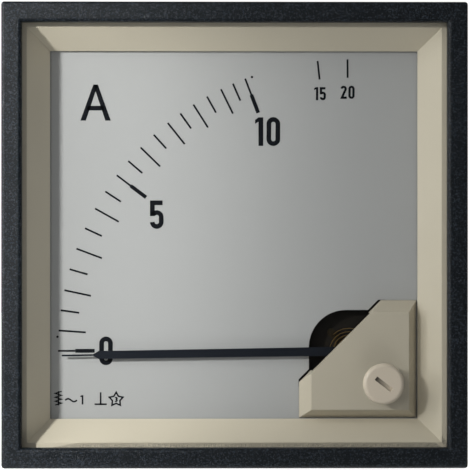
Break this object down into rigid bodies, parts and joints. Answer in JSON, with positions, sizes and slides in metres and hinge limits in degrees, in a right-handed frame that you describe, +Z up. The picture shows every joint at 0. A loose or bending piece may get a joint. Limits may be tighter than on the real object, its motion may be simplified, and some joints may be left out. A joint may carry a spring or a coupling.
{
  "type": "analog panel meter",
  "caption": "Square flush-mounting ammeter with a quadrant scale, swinging pointer, moving-iron movement behind the dial, zero adjuster in the pane and two rear stud terminals.",
  "frame": {"origin": "centre of the bezel's rear face, which seats on the panel", "axes": "+X to the right seen from the front, +Y into the panel, +Z up; the window faces -Y"},
  "size_m": [0.096, 0.0683, 0.096],
  "materials": {
    "bezel_black": "fine sparkle texture",
    "pane": "clear polished",
    "cream_plastic": "satin moulded",
    "button_plastic": "satin moulded",
    "case_black": "fine matt moulded",
    "dial_paint": "matt light grey paint",
    "pointer_paint": "matt black paint on sheet",
    "brass": "turned",
    "bronze": "rolled strip",
    "steel": "plated",
    "iron": "soft iron sheet",
    "aluminium": "plain sheet",
    "copper": "bare strip",
    "enamelled_copper": "enamelled wire",
    "natural_plastic": "plain moulded",
    "frame_plastic": "plain moulded"
  },
  "bodies": {
    "meter_case": {"front_bezel": "bezel_black", "window_pane": "pane", "mask_frame": "cream_plastic", "case": "case_black", "dial_plate": "dial_paint", "corner_cover": "cream_plastic", "lever_bush": "brass", "front_bridge": "steel", "bridge_screws": "steel", "stop_pins": "steel", "front_bearing": "brass", "rear_bearing": "brass", "front_plate": "frame_plastic", "rear_plate": "frame_plastic", "frame_posts": "brass", "frame_screws": "steel", "coil_bobbin": "natural_plastic", "coil_winding": "enamelled_copper", "fixed_iron": "iron", "damping_cup": "frame_plastic", "damping_lid": "frame_plastic", "left_strap": "copper", "right_strap": "copper", "terminal_studs": "brass", "terminal_washers": "steel", "terminal_nuts": "brass"},
    "pointer_system": {"pointer": "pointer_paint", "pointer_hub": "brass", "counterweight": "brass", "spindle": "steel", "moving_iron": "iron", "damping_vane": "aluminium"},
    "zero_lever": {"zero_lever": "steel", "hairspring": "bronze"},
    "zero_adjuster": {"zero_adjuster": "button_plastic", "adjuster_clip": "button_plastic"}
  },
  "joints": [
    {"name": "pointer_swing", "type": "hinge", "parent": "meter_case", "child": "pointer_system", "pos_m": [0.0243, 0, -0.0243], "axis": [0, 1, 0], "range_deg": [-2, 93], "stiffness_Nm_per_rad": 0.0002, "deforming": ["hairspring"]},
    {"name": "zero_adjuster_turn", "type": "hinge", "parent": "meter_case", "child": "zero_adjuster", "pos_m": [0.03073, 0, -0.03073], "axis": [0, 1, 0], "range_deg": [-35, 35]},
    {"name": "zero_lever_turn", "type": "hinge", "parent": "meter_case", "child": "zero_lever", "pos_m": [0.0243, 0, -0.0243], "axis": [0, 1, 0], "range_deg": [-4.2, 4.2]}
  ],
  "couplings": [
    {"joint": "zero_lever_turn", "follows": "zero_adjuster_turn", "ratio": 0.1165}
  ]
}
